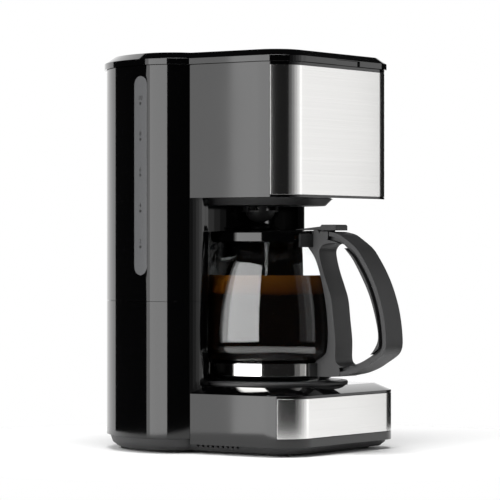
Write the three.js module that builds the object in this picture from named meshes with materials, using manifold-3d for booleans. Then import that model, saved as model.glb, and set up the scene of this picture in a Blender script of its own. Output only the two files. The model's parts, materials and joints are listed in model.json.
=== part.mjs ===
// A drip coffee maker: a round tank column at the back, a brewing head over a warming base,
// and a glass carafe that stands in the bay between them.
// Millimetres, +Z up, the front of the machine faces -Y. The origin is on the floor,
// under the middle of the box that holds the whole machine.
import * as THREE from 'three';
import { mergeVertices } from 'three/addons/utils/BufferGeometryUtils.js';
import Module from 'manifold-3d';

const wasm = await Module();
wasm.setup();

// ---------------------------------------------------------------- driving dimensions
const gap = 0.3; // between neighbouring pieces
const wall = 2.4; // moulded casings
const height = 345; // floor to the top of the lid

const bodyWidth = 177; // head and base, across
const bodyCorner = 30; // their two front corners
const headFront = -89.8;
const baseFront = -96.8;

const columnRadius = 106; // the round back of the column
const columnY = 34.2;
const columnCorner = 37; // where the column turns in behind the head
const cornerOffset = 6.5; // how far that corner's centre lies behind the column's centre
const bayRadius = 69.4; // the hollow that the carafe stands in
const bayY = 5;

const panBottom = 2.5;
const panTop = 12.8;
const baseBottom = 13.1;
const baseEdge = 51.8; // the foot of the base's bevel
const baseTop = 57.8;
const baseBevel = 14.5;
const columnSeam = 130.8; // between the lower and the upper column
const headBottom = 219.8;
const lidSeam = 334;
const lidBottom = lidSeam + gap;
const lidBevelBottom = 339.5;
const lidOverhang = 2;
const lidBevel = 8;

const brewY = -2.8; // axis of the basket and the drip stop
const carafeY = -15.3; // axis of the carafe and the warming plate

const hingeY = 126; // axis of the lid
const hingeZ = (lidBottom + height) / 2;
const hingeRadius = (height - lidBottom) / 2;
const hingePinRadius = 1.6;
const hingePinX = 30; // middle of each hinge pin
const knuckleWidth = 8;

const sheet = 0.8; // thickness of the two steel front panels
const panelEnd = 25; // degrees of each front corner that its steel panel leaves bare

const plateTop = 61.5;
const roundSteps = 32; // facets round the carafe, the plate and the basket
const handleWidth = 27;
const handleGap = 0.5; // between handle and glass
const lidPinY = -70.4; // hinge pin of the carafe's lid
const lidPinZ = 189;
const lidPinRadius = 1.5;
const knuckleRadius = 3.2; // of the lever, round that pin
const leverWidth = 19;

const riser = { x: 84, y: 22, radius: 4.5, bore: 3 };
const hose = { radius: 5, bore: 3.4 };
const rocker = { x: 84, y: -25, z: 32, tilt: 8 }; // pivot of the power switch and its tilt at rest

// ---------------------------------------------------------------- colours
const looks = {
  gloss: { color: 0x0b0b0c, roughness: 0.12, metalness: 0 },
  matte: { color: 0x1d1d1e, roughness: 0.55, metalness: 0 },
  steel: { color: 0xc9c8c5, roughness: 0.3, metalness: 1 },
  polished: { color: 0xe4e3e0, roughness: 0.08, metalness: 1 },
  aluminium: { color: 0xb4b6b8, roughness: 0.4, metalness: 1 },
  plate: { color: 0x232324, roughness: 0.35, metalness: 0.2 },
  clear: { color: 0x8f9396, roughness: 0.15, metalness: 0, transparent: true, opacity: 0.75 },
  glass: { color: 0xdfe6e6, roughness: 0.03, metalness: 0, transparent: true, opacity: 0.3 },
  coffee: { color: 0x120703, roughness: 0.05, metalness: 0 },
  mesh: { color: 0xb99a52, roughness: 0.4, metalness: 0.8 },
  rubber: { color: 0x141414, roughness: 0.8, metalness: 0 },
  silicone: { color: 0xd6d3cc, roughness: 0.5, metalness: 0 },
  liner: { color: 0x2c2d2f, roughness: 0.4, metalness: 0 },
};

// ---------------------------------------------------------------- geometry helpers
const vec = (x, y) => new THREE.Vector2(x, y);
const rad = THREE.MathUtils.degToRad;

// Points on an arc, both ends included, anticlockwise when `to` is larger than `from`.
function arc(cx, cy, radius, from, to, steps) {
  const points = [];
  for (let i = 0; i <= steps; i++) {
    const angle = rad(from + ((to - from) * i) / steps);
    points.push(vec(cx + radius * Math.cos(angle), cy + radius * Math.sin(angle)));
  }
  return points;
}

// The right half of a plan outline, from front to back, completed on the left.
function mirrored(right) {
  const endsOnAxis = Math.abs(right[right.length - 1].x) < 1e-6;
  const left = right.slice(0, endsOnAxis ? -1 : right.length).reverse();
  return [...right, ...left.map((p) => vec(-p.x, p.y))];
}

// A prism over a plan outline.
function extrude(outline, z0, z1) {
  const shape = outline instanceof THREE.Shape ? outline : new THREE.Shape(outline);
  const geometry = new THREE.ExtrudeGeometry(shape, { depth: z1 - z0, bevelEnabled: false });
  return geometry.translate(0, 0, z0);
}

// A prism over an outline of (y, z) points, from x0 to x1.
function extrudeAcross(outline, x0, x1) {
  const toSide = new THREE.Matrix4().makeBasis(
    new THREE.Vector3(0, 1, 0), new THREE.Vector3(0, 0, 1), new THREE.Vector3(1, 0, 0));
  return extrude(outline, x0, x1).applyMatrix4(toSide);
}

// A closed skin through plan outlines of equal point count, from the lowest to the highest.
function loft(sections) {
  const count = sections[0].outline.length;
  const positions = sections.flatMap(({ outline, z }) => outline.flatMap((p) => [p.x, p.y, z]));
  const index = [];
  for (let ringStart = 0; ringStart < (sections.length - 1) * count; ringStart += count) {
    for (let i = 0; i < count; i++) {
      const a = ringStart + i;
      const b = ringStart + ((i + 1) % count);
      index.push(a, b, b + count, a, b + count, a + count);
    }
  }
  const top = (sections.length - 1) * count;
  const lowest = THREE.ShapeUtils.triangulateShape(sections[0].outline, []);
  const highest = THREE.ShapeUtils.triangulateShape(sections[sections.length - 1].outline, []);
  for (const [a, b, c] of lowest) index.push(a, c, b);
  for (const [a, b, c] of highest) index.push(top + a, top + b, top + c);
  const geometry = new THREE.BufferGeometry();
  geometry.setAttribute('position', new THREE.Float32BufferAttribute(positions, 3));
  return geometry.setIndex(index);
}

// A body turned about a vertical axis, from a profile of [radius, z] points: outwards, up and back in.
function turned(profile, x, y, steps = 32) {
  const geometry = new THREE.LatheGeometry(profile.map(([r, z]) => vec(r, z)), steps);
  return geometry.rotateX(Math.PI / 2).translate(x, y, 0);
}

// A profile clear of the axis closes on itself.
const closed = (profile) => [...profile, profile[0]];

// Upright, sideways (along X) and front-to-back (along Y) round rods.
function rod(x, y, z0, z1, radius, steps = 16) {
  return turned([[0, z0], [radius, z0], [radius, z1], [0, z1]], x, y, steps);
}

function crossRod(y, z, x0, x1, radius, steps = 16) {
  return rod(0, 0, x0, x1, radius, steps).rotateY(Math.PI / 2).translate(0, y, z);
}

function depthRod(x, z, y0, y1, radius, steps = 16) {
  return rod(0, 0, y0, y1, radius, steps).rotateX(-Math.PI / 2).translate(x, 0, z);
}

function box(x0, x1, y0, y1, z0, z1) {
  const geometry = new THREE.BoxGeometry(Math.abs(x1 - x0), y1 - y0, z1 - z0);
  return geometry.translate((x0 + x1) / 2, (y0 + y1) / 2, (z0 + z1) / 2);
}

// An upright piece of a ring about (0, y), between two angles.
function ringSector(y, inner, outer, from, to, z0, z1, steps = 8) {
  const outline = [...arc(0, y, outer, from, to, steps), ...arc(0, y, inner, to, from, steps)];
  return extrude(outline, z0, z1);
}

// A pipe along a smooth path through the given points.
function pipe(points, outer, bore, steps, sides = 8) {
  const section = new THREE.Shape(arc(0, 0, outer, 0, 360, sides).slice(1));
  if (bore > 0) section.holes.push(new THREE.Path(arc(0, 0, bore, 360, 0, sides).slice(1)));
  const path = new THREE.CatmullRomCurve3(points.map(([x, y, z]) => new THREE.Vector3(x, y, z)));
  return new THREE.ExtrudeGeometry(section, { steps, extrudePath: path, bevelEnabled: false });
}

// ---------------------------------------------------------------- joining and cutting
function solid(shape) {
  if (shape instanceof wasm.Manifold) return shape;
  const bare = shape.clone();
  bare.deleteAttribute('normal');
  bare.deleteAttribute('uv');
  const merged = mergeVertices(bare, 1e-4);
  const vertProperties = merged.attributes.position.array;
  const triVerts = new Uint32Array(merged.index.array);
  return new wasm.Manifold(new wasm.Mesh({ numProp: 3, vertProperties, triVerts }));
}

const join = (...parts) => parts.map(solid).reduce((a, b) => a.add(b));
const cut = (body, ...tools) => tools.map(solid).reduce((a, b) => a.subtract(b), solid(body));
const common = (a, b) => solid(a).intersect(solid(b));

function geometryOf(manifold) {
  const mesh = manifold.getMesh();
  const geometry = new THREE.BufferGeometry();
  geometry.setAttribute('position', new THREE.BufferAttribute(mesh.vertProperties, 3));
  geometry.setIndex(new THREE.BufferAttribute(mesh.triVerts, 1));
  geometry.computeVertexNormals();
  return geometry;
}

const machine = new THREE.Group();

function add(name, look, shape) {
  const geometry = shape instanceof wasm.Manifold ? geometryOf(shape) : shape;
  const mesh = new THREE.Mesh(geometry, new THREE.MeshStandardMaterial(looks[look]));
  mesh.name = name;
  machine.add(mesh);
}

// ---------------------------------------------------------------- plan outlines
// Every outline takes an inset: positive draws it in, negative lets it out.
const halfWidth = bodyWidth / 2;
const cornerReach = columnRadius - columnCorner;
const columnCornerX = Math.sqrt(cornerReach ** 2 - cornerOffset ** 2);
const columnCornerY = columnY + cornerOffset;
const tangentAngle = THREE.MathUtils.radToDeg(Math.atan2(cornerOffset, columnCornerX));
const backY = columnY + columnRadius;

function columnBack(inset, startAngle) {
  return [
    ...arc(columnCornerX, columnCornerY, columnCorner - inset, startAngle, tangentAngle, 6),
    ...arc(0, columnY, columnRadius - inset, tangentAngle, 90, 10).slice(1),
  ];
}

function columnOutline(inset) {
  return mirrored(columnBack(inset, -90));
}

// The front block with the column behind it, as the base pan and the lid have it.
function footprint(front, inset) {
  const sideX = halfWidth - inset;
  const seamAngle = -THREE.MathUtils.radToDeg(Math.acos((sideX - columnCornerX) / (columnCorner - inset)));
  const corner = arc(halfWidth - bodyCorner, front + bodyCorner, bodyCorner - inset, -90, 0, 6);
  return mirrored([...corner, ...columnBack(inset, seamAngle)]);
}

// The front block alone, with a straight back edge that lies behind the bay.
function blockOutline(front, inset) {
  const corner = arc(halfWidth - bodyCorner, front + bodyCorner, bodyCorner - inset, -90, 0, 6);
  return mirrored([...corner, vec(halfWidth - inset, bayY + bayRadius + 2)]);
}

function bayOutline(radius) {
  const front = columnY - columnRadius;
  return [...arc(0, bayY, radius, 0, 180, 22), vec(-radius, front), vec(radius, front)];
}

// The column with the bay scooped out of its front: a crescent in plan.
function crescent(inset, z0, z1) {
  return cut(extrude(columnOutline(inset), z0, z1), extrude(bayOutline(bayRadius + inset), z0 - 1, z1 + 1));
}

// The strip of a front wall that its steel panel covers, wrapped round both corners.
function panelStrip(front, outerInset, innerInset, endAngle, z0, z1) {
  const cx = halfWidth - bodyCorner;
  const cy = front + bodyCorner;
  const around = (inset) => [
    ...arc(-cx, cy, bodyCorner - inset, 180 + endAngle, 270, 6),
    ...arc(cx, cy, bodyCorner - inset, 270, 360 - endAngle, 6),
  ];
  return extrude([...around(outerInset), ...around(innerInset).reverse()], z0, z1);
}

// ---------------------------------------------------------------- base
const tongueGap = -gap; // the front blocks stay this far off the column
const footSpots = [[-63.5, -65.8], [63.5, -65.8], [-60, 95], [60, 95]];
const postSpots = [[-66, -48], [66, -48], [-68.5, 36.9], [68.5, 36.9]];
const post = { radius: 4.5, bottom: 8.3, pilot: 1.9, depth: 14 };
const footRadius = 8.5;

function basePan() {
  const level = (inset, z) => ({ outline: footprint(baseFront, inset), z });
  const outer = loft([level(10, panBottom), level(5.5, 6), level(3, panTop)]);
  const inner = loft([level(12.4, panBottom + 2.2), level(7.9, 7), level(5.4, panTop + 1)]);
  const bosses = postSpots.map(([x, y]) => rod(x, y, 4, 8, 6.5, 12));
  const shellWithBosses = join(cut(outer, inner), ...bosses.map((boss) => common(boss, outer)));
  const stemHoles = footSpots.map(([x, y]) => rod(x, y, 0, 10, 3.3, 10));
  const screwHoles = postSpots.map(([x, y]) => rod(x, y, 0, 10, 1.9, 8));
  const headRecesses = postSpots.map(([x, y]) => rod(x, y, 0, 4.9, 4, 10));
  const vents = [];
  for (let i = 0; i < 9; i++) {
    const slot = box(-12, 12, -1.1, 1.1, -2.6, 2.6).rotateX(rad(24));
    vents.push(slot.translate(-halfWidth + 4, -38 + i * 5.2, 8.6));
  }
  return cut(shellWithBosses, ...stemHoles, ...screwHoles, ...headRecesses, ...vents);
}
add('base_pan', 'matte', basePan());

footSpots.forEach(([x, y], i) => {
  const pad = [[0, 0], [footRadius - 0.8, 0], [footRadius, 0.8], [footRadius, 2.2]];
  const profile = [...pad, [3, 2.2], [3, 7], [0, 7]];
  add(`foot_${i + 1}`, 'rubber', turned(profile, x, y, 16));
});

postSpots.forEach(([x, y], i) => {
  const profile = [[0, 2.9], [3.2, 2.9], [3.6, 3.4], [3.6, 4.6], [1.5, 4.6], [1.5, 20], [0, 20.8]];
  add(`pan_screw_${i + 1}`, 'aluminium', turned(profile, x, y, 8));
});

const plateHole = 63.5;
const underPass = { halfWidth: 58, y0: 20, y1: 86, z1: 50 }; // hoses pass from the base into the column here

function baseShell() {
  const level = (inset, z) => ({ outline: blockOutline(baseFront, inset), z });
  const outer = loft([level(0, baseBottom), level(0, baseEdge), level(baseBevel, baseTop)]);
  const inner = loft([level(wall, 12), level(wall, baseEdge - 1.6), level(baseBevel + 1.9, baseTop - wall)]);
  const skin = cut(outer, crescent(tongueGap, 10, 60));
  const hollow = cut(inner, crescent(tongueGap - wall, 10, 60));
  const posts = postSpots.slice(0, 2).map(([x, y]) => rod(x, y, post.bottom, baseTop - 1.5, post.radius));
  const body = join(cut(skin, hollow), ...posts);
  const pilots = postSpots.slice(0, 2).map(([x, y]) => rod(x, y, 8, post.bottom + post.depth, post.pilot));
  const { halfWidth: half, y0, y1, z1 } = underPass;
  return cut(
    body, ...pilots,
    rod(0, carafeY, 50, 60, plateHole, 48),
    panelStrip(baseFront, -1, sheet + gap, panelEnd - 0.6, 15.5, 49.7),
    box(-half, half, y0, y1, 10, z1),
    box(80, 95, rocker.y - 9.7, rocker.y + 9.7, rocker.z - 6.6, rocker.z + 6.6),
  );
}
add('base_shell', 'gloss', baseShell());
add('base_panel', 'steel', panelStrip(baseFront, 0, sheet, panelEnd, 15.8, 49.4));

// ---------------------------------------------------------------- warming plate and heater
add('plate_ring', 'matte', turned(closed([
  [62.1, 54], [63.2, 54], [63.2, 58.1], [66.8, 58.1], [66.8, 60.2], [66, 61], [62.1, 61],
]), 0, carafeY, roundSteps));
add('warming_plate', 'plate', turned([
  [0, 59.6], [60.2, 59.6], [60.4, 57], [61.7, 57], [61.7, 60.6], [60.8, plateTop], [0, plateTop],
], 0, carafeY, roundSteps));
add('heating_element', 'aluminium', ringSector(carafeY, 36, 48, -240, 60, 47, 59.2, 24));

const heaterPipeZ = 42.2;
const pipeRadius = 42;
const pipeBend = arc(0, carafeY, pipeRadius, 60, -240, 10).map((p) => [p.x, p.y, heaterPipeZ]);
const pipeEnd = (side) => [[side * 22, 40, heaterPipeZ], [side * 21.6, 30, heaterPipeZ]];
add('heater_pipe', 'aluminium', pipe([...pipeEnd(1), ...pipeBend, ...pipeEnd(-1).reverse()], 4, 0, 28));

function heaterBracket() {
  const bar = box(-56, 56, carafeY - 6.5, carafeY + 6.5, 36, 37.5);
  const ends = [-1, 1].map((side) => box(side * 56, side * 54.5, carafeY - 6.5, carafeY + 6.5, 36, 54));
  return cut(join(bar, ...ends), rod(0, carafeY, 30, 40, 2.1));
}
add('heater_bracket', 'aluminium', heaterBracket());
add('bracket_screw', 'aluminium', turned([
  [0, 33.5], [3.4, 33.5], [4, 34.1], [4, 35.7], [1.8, 35.7], [1.8, 44.5], [0, 44.5],
], 0, carafeY, 12));
add('thermostat', 'aluminium', turned([
  [0, 45], [6, 45], [6, 49], [9, 49], [9, 58.8], [0, 58.8],
], 0, carafeY, 20));
add('thermal_fuse', 'silicone', crossRod(carafeY, 50, -32, -14, 2.2, 10));

// ---------------------------------------------------------------- power switch, on the right-hand side
function rockerSeat() {
  const { y, z } = rocker;
  const face = box(88.8, 90.3, y - 11, y + 11, z - 7.6, z + 7.6);
  const body = box(74, 89, y - 9.4, y + 9.4, z - 6.3, z + 6.3);
  return cut(join(face, body), box(77, 95, y - 8.6, y + 8.6, z - 5.3, z + 5.3));
}
add('switch_housing', 'matte', rockerSeat());

function rockerKey() {
  const plan = [
    vec(-3, -5), vec(4, -7.7), vec(6.5, -7.3), vec(5.6, 0), vec(6.5, 7.3), vec(4, 7.7), vec(-3, 5),
  ];
  const key = extrude(plan, rocker.z - 5, rocker.z + 5);
  return key.rotateZ(rad(-rocker.tilt)).translate(rocker.x, rocker.y, 0);
}
add('switch_rocker', 'gloss', rockerKey());

// ---------------------------------------------------------------- column
const gland = { x: 0, z: 30, bore: 3.6, neck: 6.6, flange: 9 };

function columnTube(z0, z1) {
  return cut(crescent(0, z0, z1), crescent(wall, z0 - 1, z1 + 1));
}

function lowerColumn() {
  const posts = postSpots.slice(2).map(([x, y]) => rod(x, y, post.bottom + 5, 60, post.radius));
  const pilots = postSpots.slice(2).map(([x, y]) => rod(x, y, 8, 13 + post.depth, post.pilot));
  const { halfWidth: half, y0, y1, z1 } = underPass;
  return cut(
    join(columnTube(baseBottom, columnSeam - gap / 2), ...posts),
    ...pilots,
    box(-half, half, y0, y1, 10, z1),
    depthRod(gland.x, gland.z, 130, 145, gland.neck + gap),
  );
}
add('lower_column', 'gloss', lowerColumn());

add('cord_gland', 'rubber', turned(closed([
  [gland.bore, 135], [gland.flange, 135], [gland.flange, 137], [gland.neck, 137], [gland.neck, 140.5],
  [gland.flange, 140.5], [gland.flange, 141.3], [gland.flange - 1, 142], [gland.bore, 142],
]), 0, 0, 20).rotateX(-Math.PI / 2).translate(gland.x, 0, gland.z));

// The window for the water level: an upright slot with round ends, cut square to the column's wall.
const gauge = { angle: 8.7, width: 15.5, bottom: 153.4, top: 325 };

function stadium(width, z0, z1) {
  const radius = width / 2;
  return [...arc(0, z1 - radius, radius, 0, 180, 10), ...arc(0, z0 + radius, radius, 180, 360, 10)];
}

function gaugePrism(margin) {
  const sin = Math.sin(rad(gauge.angle));
  const cos = Math.cos(rad(gauge.angle));
  const outline = stadium(gauge.width + 2 * margin, gauge.bottom - margin, gauge.top + margin);
  const prism = extrude(outline, columnRadius - 12, columnRadius + 12);
  const outwards = new THREE.Matrix4().makeBasis(
    new THREE.Vector3(-sin, -cos, 0), new THREE.Vector3(0, 0, 1), new THREE.Vector3(-cos, sin, 0));
  return prism.applyMatrix4(outwards).translate(0, columnY, 0);
}

const armNotch = box(60, 80, 11, 25, 322, 336);

function upperColumn() {
  return cut(columnTube(columnSeam + gap / 2, lidSeam), gaugePrism(gap), armNotch);
}
add('upper_column', 'gloss', upperColumn());
add('gauge_window', 'clear', common(
  gaugePrism(0),
  ringSector(columnY, columnRadius - 3.2, columnRadius, 165, 178, gauge.bottom - 5, gauge.top + 5, 6)));

// ---------------------------------------------------------------- water path
const tank = { inset: 8, wall: 1.8, bottom: 150, top: 328, front: 34 };
const outlet = { x: -40, y: 100 };

function waterTank() {
  const { inset, wall: skin, bottom, top, front } = tank;
  const outer = common(crescent(inset, bottom, top), box(-110, 110, front, 150, bottom, top));
  const inner = common(
    crescent(inset + skin, bottom + skin, top + 1),
    box(-110, 110, front + skin, 150, bottom + skin, top + 1));
  const nipple = rod(outlet.x, outlet.y, bottom - 8, bottom + 1, 5);
  return cut(join(cut(outer, inner), nipple), rod(outlet.x, outlet.y, bottom - 10, bottom + 3, 3));
}
add('water_tank', 'liner', waterTank());
add('check_valve', 'silicone', turned(closed([
  [3, 127], [5.5, 127], [5.5, 130], [8, 131], [8, 138], [5.5, 139], [5.5, 141.7], [3, 141.7],
]), outlet.x, outlet.y, 20));
add('cold_hose', 'silicone', pipe([
  [outlet.x, outlet.y, 126.7], [outlet.x, outlet.y, 95], [outlet.x, outlet.y, 60], [-38, 90, 45],
  [-32, 66, 42], [-22.4, 50, heaterPipeZ], [-22, 41, heaterPipeZ],
], hose.radius, hose.bore, 16));
add('hot_hose', 'silicone', pipe([
  [22, 41, heaterPipeZ], [22.6, 50, heaterPipeZ], [37, 68, 41], [57, 68, 38],
  [74, 48, 35], [82, 30, 37], [riser.x, riser.y, 48], [riser.x, riser.y, 59],
], hose.radius, hose.bore, 16));
add('riser_tube', 'silicone', turned(closed([
  [riser.bore, 60], [riser.radius, 60], [riser.radius, 317.7], [riser.bore, 317.7],
]), riser.x, riser.y, 12));
add('shower_arm', 'matte', pipe([
  [riser.x, riser.y, 318.6], [riser.x, riser.y, 323], [82.6, 21.6, 326.5], [77, 19.9, 328.3],
  [60, 14.9, 328.5], [25, 4.6, 328.5],
  [6, -1, 328], [0.6, -2.6, 323.5], [0, brewY, 315],
], 4.2, 0, 18));

function spreader() {
  const dish = turned([
    [0, 311.8], [23.4, 311.8], [25, 315], [23.8, 315], [22.8, 313.4], [6.4, 313.4], [6.4, 320], [4.9, 320],
    [4.9, 313.4], [0, 313.4],
  ], 0, brewY, 24);
  const holes = arc(0, brewY, 15, 0, 300, 5).map((p) => rod(p.x, p.y, 308, 316, 1.4, 8));
  return cut(dish, ...holes);
}
add('spreader', 'matte', spreader());

// ---------------------------------------------------------------- brewing head
const basketHole = 64.6;

function headShell() {
  const z1 = lidSeam;
  const block = extrude(blockOutline(headFront, 0), headBottom, z1);
  const skin = cut(block, crescent(tongueGap, headBottom - 1, z1 + 1));
  const hollow = cut(
    extrude(blockOutline(headFront, wall), headBottom + wall, z1 + 1),
    crescent(tongueGap - wall, headBottom, z1 + 2));
  return cut(
    skin, hollow, armNotch,
    rod(0, brewY, headBottom - 1, headBottom + 5, basketHole, 48),
    panelStrip(headFront, -1, sheet + gap, panelEnd - 0.6, 221.6, 331.8));
}
add('head_shell', 'gloss', headShell());
add('head_panel', 'steel', panelStrip(headFront, 0, sheet, panelEnd, 221.9, 331.5));

add('brew_basket', 'matte', turned(closed([
  [5.5, 213.9], [57.5, 213.9], [63.5, 219.8], [63.9, 226], [65, 300], [67, 301], [67, 303], [62.8, 303],
  [61.4, 227], [56.4, 218.2], [14, 215.8], [5.5, 215.8],
]), 0, brewY, roundSteps));
add('filter_mesh', 'mesh', turned([
  [0, 227.5], [30, 227.5], [56, 296], [60, 297], [60, 298.4], [55, 298.4], [28.8, 229], [0, 229],
], 0, brewY, roundSteps));

// The cage of the drip stop hangs under the basket on four legs, and the plunger's dome rises between them.
const cage = { inner: 13.7, outer: 16, bottom: 208.6, ringTop: 209.8, top: 213.6 };
const legAngles = [-137, -47, 155, 65]; // directions of the legs in plan
const legWidth = 24; // degrees

function valveCage() {
  const rim = turned(closed([
    [cage.inner, cage.bottom], [cage.outer, cage.bottom],
    [cage.outer, cage.ringTop], [cage.inner, cage.ringTop],
  ]), 0, brewY, 24);
  const half = legWidth / 2;
  const legs = legAngles.map((middle) => ringSector(
    brewY, cage.inner, cage.outer, middle - half, middle + half, cage.ringTop - 0.5, cage.top, 3));
  return join(rim, ...legs);
}
add('drip_stop_cage', 'matte', valveCage());
add('drip_stop_plunger', 'matte', turned([
  [0, 199.7], [4, 200], [8, 201.4], [10.8, 203.6], [12.5, 206.2], [13.2, 209.1], [11.8, 209.1], [11, 206.4],
  [9.4, 204.4], [7, 202.9], [2.6, 202], [2.6, 221.5], [0, 221.5],
], 0, brewY, 20));
add('drip_stop_seal', 'rubber', turned(closed([
  [2.9, 218.4], [8.6, 218.4], [9, 219], [9, 220.2], [2.9, 220.2],
]), 0, brewY, 20));

function coil(radius, turns, z0, z1, wire) {
  const points = [];
  const perTurn = 10;
  for (let i = 0; i <= turns * perTurn; i++) {
    const angle = (i / perTurn) * 2 * Math.PI;
    const z = z0 + ((z1 - z0) * i) / (turns * perTurn);
    points.push([radius * Math.cos(angle), brewY + radius * Math.sin(angle), z]);
  }
  return pipe(points, wire, 0, turns * 10, 5);
}
add('drip_stop_spring', 'polished', coil(5, 4, 203.6, 212.9, 0.4));

// ---------------------------------------------------------------- top lid
// The outside of the lid and its cap together, and the hollow under the lid's skin.
const lidLevel = (inset, z) => ({ outline: footprint(headFront, inset), z });
const lidBlank = () => loft([
  lidLevel(-lidOverhang, lidBottom),
  lidLevel(-lidOverhang, lidBevelBottom),
  lidLevel(lidBevel - lidOverhang, height),
]);
const lidHollow = () => loft([
  lidLevel(0.2, lidBottom - 1),
  lidLevel(0.2, lidBevelBottom - 0.7),
  lidLevel(7.2, height - 2.2),
]);

function lidShell() {
  const front = box(-120, 120, -120, hingeY, 330, 350);
  const barrel = crossRod(hingeY, hingeZ, -90, 90, hingeRadius - 0.02, 24);
  const hollow = common(lidHollow(), box(-120, 120, -120, hingeY - 8, 330, 350));
  const knuckleSlots = [-1, 1].map((side) => box(
    side * hingePinX - knuckleWidth / 2 - gap, side * hingePinX + knuckleWidth / 2 + gap,
    hingeY - 6.4, hingeY + 8, 330, 350));
  const bores = [-1, 1].map((side) => crossRod(
    hingeY, hingeZ, side * hingePinX - 10, side * hingePinX + 10, hingePinRadius + gap));
  const scoop = box(-13, 24, headFront - 6, headFront - 0.6, 334, 338.8); // for a fingertip
  return cut(common(lidBlank(), join(front, barrel)), hollow, ...knuckleSlots, ...bores, scoop);
}
add('lid_shell', 'gloss', lidShell());
add('lid_inner', 'matte', common(
  extrude(footprint(headFront, 0.9), 334.6, 336.2),
  box(-120, 120, -88, hingeY - 8.6, 330, 350)));

for (const [side, word] of [[-1, 'left'], [1, 'right']]) {
  const x = side * hingePinX;
  add(`lid_pin_${word}`, 'aluminium', crossRod(hingeY, hingeZ, x - 9.6, x + 9.6, hingePinRadius, 12));
}

function rearCap() {
  const blank = common(lidBlank(), box(-120, 120, hingeY, 150, 330, 350));
  const shaped = cut(
    blank,
    crossRod(hingeY, hingeZ, -90, 90, hingeRadius + 0.6, 24),
    box(-120, 120, hingeY - 1, hingeY + 6.5, hingeZ, 350),
    box(-120, 120, hingeY - 1, hingeY + 4.5, 330, hingeZ));
  const knuckles = [-1, 1].map((side) => {
    const x0 = side * hingePinX - knuckleWidth / 2;
    const x1 = x0 + knuckleWidth;
    const web = box(x0, x1, hingeY, hingeY + 8, hingeZ - 4, hingeZ + 4);
    return join(crossRod(hingeY, hingeZ, x0, x1, 4.2), web);
  });
  return cut(join(shaped, ...knuckles), crossRod(hingeY, hingeZ, -60, 60, hingePinRadius + gap));
}
add('lid_rear_cap', 'gloss', rearCap());

// ---------------------------------------------------------------- carafe
// Outside profile of the glass, from the middle of its foot to its rim.
const glassProfile = [
  [0, 63.2], [45, 63.2], [47, 61.9], [50.5, 61.9], [54.2, 66], [54.2, 77.8], [63.5, 83.3], [67.4, 88.5],
  [68.6, 104], [66.8, 126], [62.6, 147], [57.8, 163], [53.7, 171], [48.2, 178.5], [46.8, 183], [51, 188],
];
const glassInside = [
  [50.2, 188.6], [44.8, 183.6], [46.4, 177.5], [52, 169.9], [56, 162], [60.6, 146.5], [64.8, 125.7],
  [66.6, 104], [65.5, 89.6], [62.2, 85], [52.2, 79.2], [52.2, 67.2], [50, 65.2], [0, 65.2],
];
const spout = { reach: 22, drop: 5, from: 166, to: 187, sharpness: 12 };
const smooth = (t) => THREE.MathUtils.smoothstep(t, 0, 1);

// The lip is pulled out to the back, opposite the handle.
function pullSpout(geometry) {
  const position = geometry.getAttribute('position');
  for (let i = 0; i < position.count; i++) {
    const x = position.getX(i);
    const y = position.getY(i) - carafeY;
    const z = position.getZ(i);
    const radius = Math.hypot(x, y);
    if (radius < 1 || z < spout.from) continue;
    const rise = smooth((z - spout.from) / (spout.to - spout.from));
    const pull = rise * Math.max(0, y / radius) ** spout.sharpness;
    const scale = (radius + spout.reach * pull) / radius;
    position.setXYZ(i, x * scale, carafeY + y * scale, z - spout.drop * pull);
  }
  return geometry;
}
add('carafe_glass', 'glass', pullSpout(turned([...glassProfile, ...glassInside], 0, carafeY, roundSteps)));

const coffeeTop = 153;
const coffeeProfile = glassInside.filter(([, z]) => z < coffeeTop - 4).reverse()
  .map(([r, z]) => [Math.max(0, r - gap), z + (r < 51 ? gap : 0)]);
coffeeProfile.push([58.3, coffeeTop], [0, coffeeTop]);
add('carafe_coffee', 'coffee', turned(coffeeProfile, 0, carafeY, roundSteps));
add('carafe_band', 'polished', turned(closed([
  [54.5, 66.3], [55.7, 66.3], [55.7, 77], [54.5, 77],
]), 0, carafeY, roundSteps));

// ---------------------------------------------------------------- carafe handle
const glassClearance = turned([
  [0, 60], [56.2, 60], [56.2, 77.9], ...glassProfile.slice(6).map(([r, z]) => [r + handleGap, z]),
  [51.5, 195], [0, 195],
], 0, carafeY, roundSteps);

// Outer edge of the handle seen from its left side, as (y, z), from the hinge ear over the top and down.
const handleBack = new THREE.SplineCurve([
  vec(-84, 190.9), vec(-93.5, 188.8), vec(-99.5, 185.6), vec(-112.2, 176.4), vec(-120.1, 166),
  vec(-126.3, 156), vec(-131.5, 145.5), vec(-135.5, 135), vec(-138.5, 125), vec(-140.5, 115),
  vec(-141.9, 104), vec(-142.2, 94),
  vec(-140.4, 88), vec(-136.3, 83.7), vec(-127.5, 78.2), vec(-119.1, 73.4), vec(-108, 69.2), vec(-96, 66.7),
]);
const handleHole = new THREE.SplineCurve([
  vec(-89, 181), vec(-96, 180), vec(-101.5, 175), vec(-108.8, 166.5), vec(-118.1, 151),
  vec(-125.3, 136.5),
  vec(-130.2, 122), vec(-133.6, 108), vec(-134.2, 99.5), vec(-132.2, 93.5), vec(-127.2, 86.6),
  vec(-119.3, 81.5),
  vec(-111.2, 77.8), vec(-100.4, 74.9), vec(-94.1, 76.2), vec(-90.8, 81), vec(-90.8, 97), vec(-88.8, 115),
  vec(-86.8, 132), vec(-82.8, 144), vec(-77.6, 158), vec(-74.4, 171), vec(-75.4, 176.6), vec(-80, 180.3),
]).getPoints(34);

// The outer edge moved inwards by a distance, as a list of points.
function handleEdge(depth, steps = 20) {
  const points = [];
  for (let i = 0; i <= steps; i++) {
    const at = handleBack.getPoint(i / steps);
    const along = handleBack.getTangent(i / steps);
    points.push(vec(at.x - along.y * depth, at.y + along.x * depth));
  }
  return points;
}

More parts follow.
